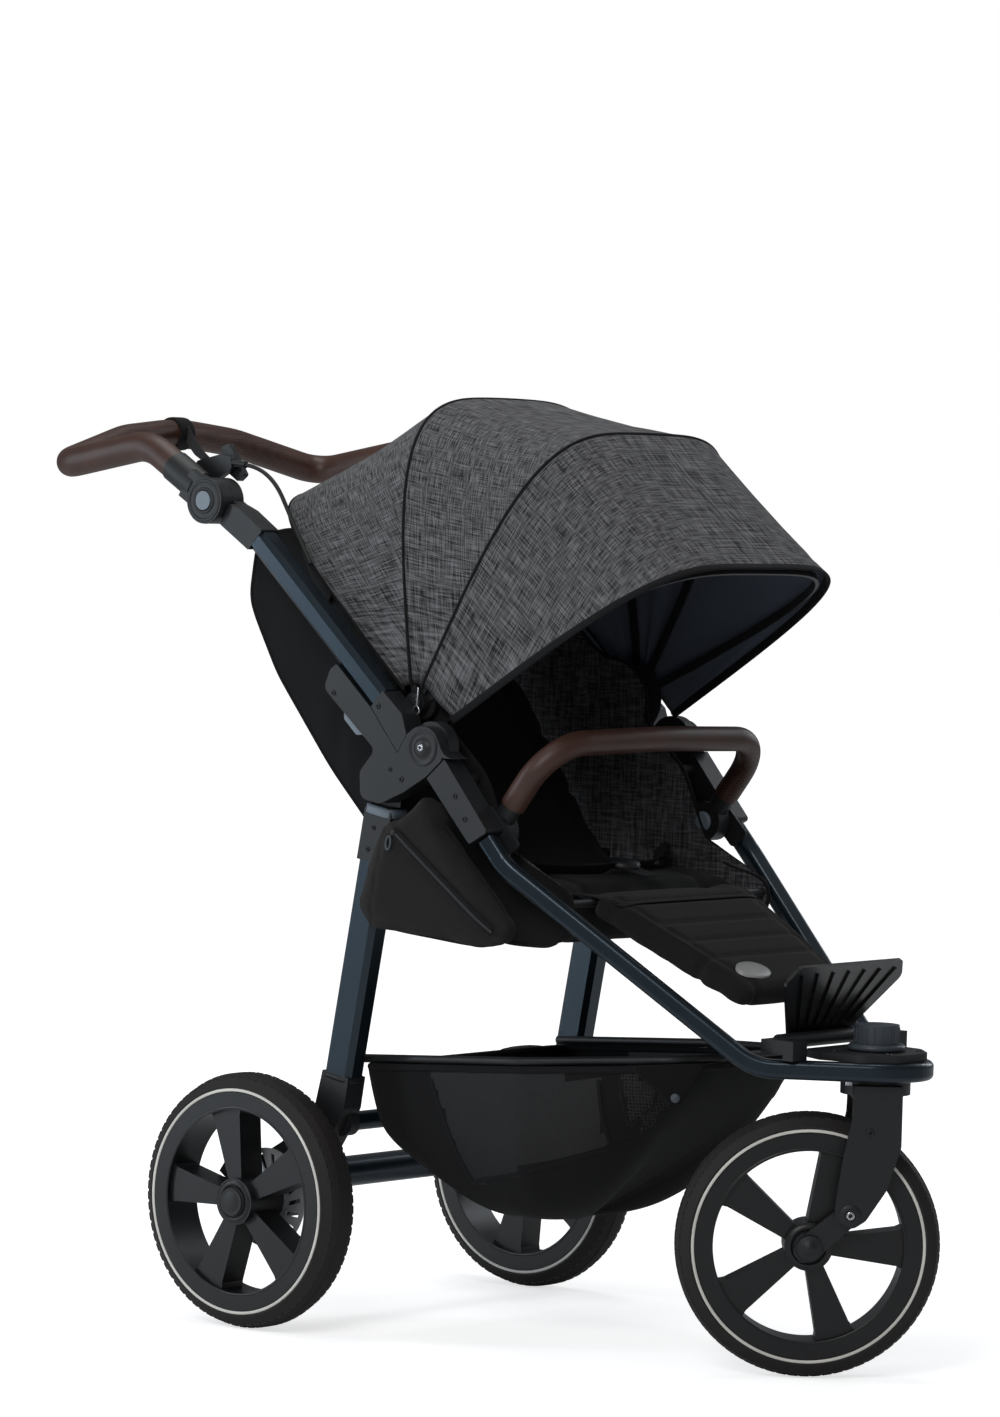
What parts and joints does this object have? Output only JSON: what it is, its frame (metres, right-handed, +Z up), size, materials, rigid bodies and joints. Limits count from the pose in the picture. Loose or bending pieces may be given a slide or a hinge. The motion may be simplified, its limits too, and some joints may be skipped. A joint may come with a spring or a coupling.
{
  "type": "stroller",
  "caption": "Three-wheeled child's pushchair with folding canopy, bumper bar, padded seat, basket, height-adjustable handle and swivelling sprung front wheel.",
  "frame": {"origin": "middle of the footprint on the ground", "axes": "+X towards the front wheel, +Y to the child's left, +Z up"},
  "size_m": [1.1684, 0.5802, 1.078],
  "materials": {
    "frame_tube": "satin",
    "black_plastic": "matte",
    "grey_plastic": "matte",
    "rim_plastic": "matte",
    "tyre": "matte",
    "steel": "satin",
    "foot_plastic": "gloss",
    "leather": "satin",
    "melange": "matte",
    "dark_fabric": "matte",
    "mesh": "matte",
    "lining": "matte",
    "strap": "matte",
    "rubber": "matte",
    "knob_plastic": "matte"
  },
  "bodies": {
    "chassis": {"front_tube": "frame_tube", "tube_sleeves": "black_plastic", "side_plates": "black_plastic", "canopy_hubs": "black_plastic", "steering_housing": "black_plastic", "nose_bolts": "steel", "footplate": "foot_plastic", "footplate_mount": "black_plastic", "seat_base": "lining", "seat_wings": "melange", "seat_brackets": "black_plastic", "backrest_rod": "steel", "leg_rest_rod": "steel", "basket": "mesh", "basket_rod": "black_plastic", "side_pouch": "dark_fabric", "bumper_clamps": "black_plastic"},
    "push_frame": {"push_tube_ends": "black_plastic", "push_tubes": "frame_tube", "handle_pivots": "black_plastic"},
    "handle": {"grip_housings": "black_plastic", "handle_grip": "leather", "handle_tube": "frame_tube", "lever_bracket": "black_plastic", "wrist_strap": "strap", "brake_cable": "rubber"},
    "brake_lever": {"brake_lever": "black_plastic"},
    "right_handle_button": {"right_handle_button": "grey_plastic"},
    "left_handle_button": {"left_handle_button": "grey_plastic"},
    "right_fold_lever": {"right_fold_lever": "grey_plastic"},
    "left_fold_lever": {"left_fold_lever": "grey_plastic"},
    "rear_frame": {"rear_legs": "frame_tube", "leg_brackets": "black_plastic", "leg_feet": "black_plastic", "axle_tube": "frame_tube", "rear_cross_tube": "frame_tube", "rear_axles": "steel", "brake_calipers": "black_plastic"},
    "right_rear_wheel": {"right_rear_rim": "rim_plastic", "right_rear_tyre": "tyre", "right_brake_disc": "steel"},
    "left_rear_wheel": {"left_rear_rim": "rim_plastic", "left_rear_tyre": "tyre", "left_brake_disc": "steel"},
    "fork": {"fork": "black_plastic"},
    "swing_arm": {"swing_arm": "black_plastic"},
    "front_wheel": {"front_rim": "rim_plastic", "front_tyre": "tyre"},
    "lock_knob": {"lock_knob": "knob_plastic"},
    "front_bow": {"front_bow": "black_plastic", "visor_cover": "melange"},
    "middle_bow": {"middle_bow": "black_plastic", "middle_cover": "melange"},
    "rear_bow": {"rear_bow": "black_plastic", "rear_cover": "melange"},
    "backrest": {"backrest": "lining"},
    "leg_rest": {"leg_rest": "dark_fabric"},
    "bumper": {"bumper_grip": "leather", "bumper_tube": "frame_tube", "bumper_knuckles": "black_plastic"}
  },
  "joints": [
    {"name": "fold", "type": "hinge", "parent": "chassis", "child": "push_frame", "pos_m": [0.05144, 0, 0.682], "axis": [0, 1, 0], "range_deg": [0, 145], "deforming": ["rear_cover", "basket"]},
    {"name": "rear_fold", "type": "hinge", "parent": "chassis", "child": "rear_frame", "pos_m": [-0.01956, 0, 0.64], "axis": [0, 1, 0], "range_deg": [-37, 0]},
    {"name": "handle_height", "type": "hinge", "parent": "push_frame", "child": "handle", "pos_m": [-0.28357, 0, 0.95304], "axis": [0, 1, 0], "range_deg": [-40, 50], "deforming": ["brake_cable"]},
    {"name": "hand_brake", "type": "hinge", "parent": "handle", "child": "brake_lever", "pos_m": [-0.28757, 0, 0.99604], "axis": [0, 1, 0], "range_deg": [0, 16], "stiffness_Nm_per_rad": 0.4, "springref_deg": -5.73},
    {"name": "right_height_button", "type": "slide", "parent": "handle", "child": "right_handle_button", "axis": [0, 1, 0], "range_m": [0, 0.003], "stiffness_N_per_m": 300, "springref_m": -0.002},
    {"name": "left_height_button", "type": "slide", "parent": "handle", "child": "left_handle_button", "axis": [0, -1, 0], "range_m": [0, 0.003], "stiffness_N_per_m": 300, "springref_m": -0.002},
    {"name": "right_fold_release", "type": "slide", "parent": "chassis", "child": "right_fold_lever", "axis": [-0.7396, 0, 0.673], "range_m": [0, 0.008], "stiffness_N_per_m": 300, "springref_m": -0.002},
    {"name": "left_fold_release", "type": "slide", "parent": "chassis", "child": "left_fold_lever", "axis": [-0.7396, 0, 0.673], "range_m": [0, 0.008], "stiffness_N_per_m": 300, "springref_m": -0.002},
    {"name": "right_rear_spin", "type": "hinge", "parent": "rear_frame", "child": "right_rear_wheel", "pos_m": [-0.17956, -0.2578, 0.1475], "axis": [0, 1, 0], "continuous": true},
    {"name": "left_rear_spin", "type": "hinge", "parent": "rear_frame", "child": "left_rear_wheel", "pos_m": [-0.17956, 0.2578, 0.1475], "axis": [0, 1, 0], "continuous": true},
    {"name": "steering", "type": "hinge", "parent": "chassis", "child": "fork", "pos_m": [0.51774, 0, 0.1475], "axis": [0, 0, 1], "continuous": true},
    {"name": "front_suspension", "type": "hinge", "parent": "fork", "child": "swing_arm", "pos_m": [0.49715, -0.01746, 0.1855], "axis": [-0.6468, 0.7627, 0], "range_deg": [0, 5], "stiffness_Nm_per_rad": 150, "springref_deg": -3.44},
    {"name": "front_spin", "type": "hinge", "parent": "swing_arm", "child": "front_wheel", "pos_m": [0.46374, -0.04579, 0.1475], "axis": [-0.6468, 0.7627, 0], "continuous": true},
    {"name": "steering_lock", "type": "hinge", "parent": "chassis", "child": "lock_knob", "pos_m": [0.51774, 0, 0.38], "axis": [0, 0, 1], "range_deg": [-45, 45]},
    {"name": "canopy", "type": "hinge", "parent": "chassis", "child": "rear_bow", "pos_m": [0.00844, 0, 0.731], "axis": [0, -1, 0], "range_deg": [0, 34.5]},
    {"name": "canopy_middle", "type": "hinge", "parent": "rear_bow", "child": "middle_bow", "pos_m": [0.00844, 0, 0.731], "axis": [0, -1, 0], "range_deg": [0, 30], "deforming": ["middle_cover"]},
    {"name": "canopy_front", "type": "hinge", "parent": "middle_bow", "child": "front_bow", "pos_m": [0.00844, 0, 0.731], "axis": [0, -1, 0], "range_deg": [0, 23.5], "deforming": ["visor_cover"]},
    {"name": "recline", "type": "hinge", "parent": "chassis", "child": "backrest", "pos_m": [-0.01456, 0, 0.545], "axis": [0, -1, 0], "range_deg": [0, 24]},
    {"name": "leg_rest_angle", "type": "hinge", "parent": "chassis", "child": "leg_rest", "pos_m": [0.21844, 0, 0.514], "axis": [0, -1, 0], "range_deg": [0, 35]},
    {"name": "bumper_swing", "type": "hinge", "parent": "chassis", "child": "bumper", "pos_m": [0.12544, 0, 0.591], "axis": [0, 1, 0], "range_deg": [0, 40]}
  ],
  "couplings": [
    {"joint": "rear_fold", "follows": "fold", "ratio": -0.25},
    {"joint": "canopy_middle", "follows": "canopy", "ratio": 0.8548},
    {"joint": "canopy_front", "follows": "canopy", "ratio": 0.6667}
  ]
}
